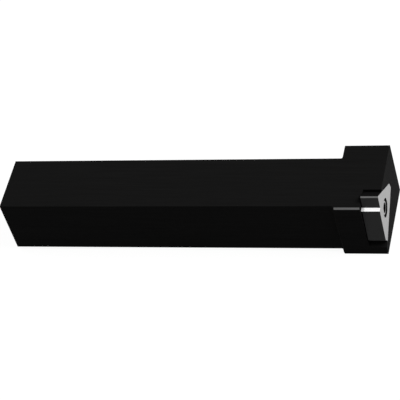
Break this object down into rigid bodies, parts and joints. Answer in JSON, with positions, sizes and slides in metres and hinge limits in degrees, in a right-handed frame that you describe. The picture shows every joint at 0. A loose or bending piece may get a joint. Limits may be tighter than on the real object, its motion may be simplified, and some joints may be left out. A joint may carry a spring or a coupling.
{
  "type": "turning tool holder",
  "caption": "Square-shank turning tool holder with a stepped head and an end seat, where a countersunk screw clamps a triangular carbide insert on edge.",
  "frame": {"origin": "middle of the bounding box, on its bottom", "axes": "+X along the shank towards the insert, +Z the front face that the cutting tip projects from, -Y the rake side"},
  "size_m": [0.1252, 0.027, 0.0235],
  "materials": {
    "black_oxide_steel": "black oxide over ground steel, satin",
    "ground_carbide": "uncoated carbide, fine ground",
    "screw_steel": "bright steel, satin"
  },
  "bodies": {
    "root": {"holder": "black_oxide_steel", "insert": "ground_carbide", "insert_screw": "screw_steel"}
  },
  "joints": []
}
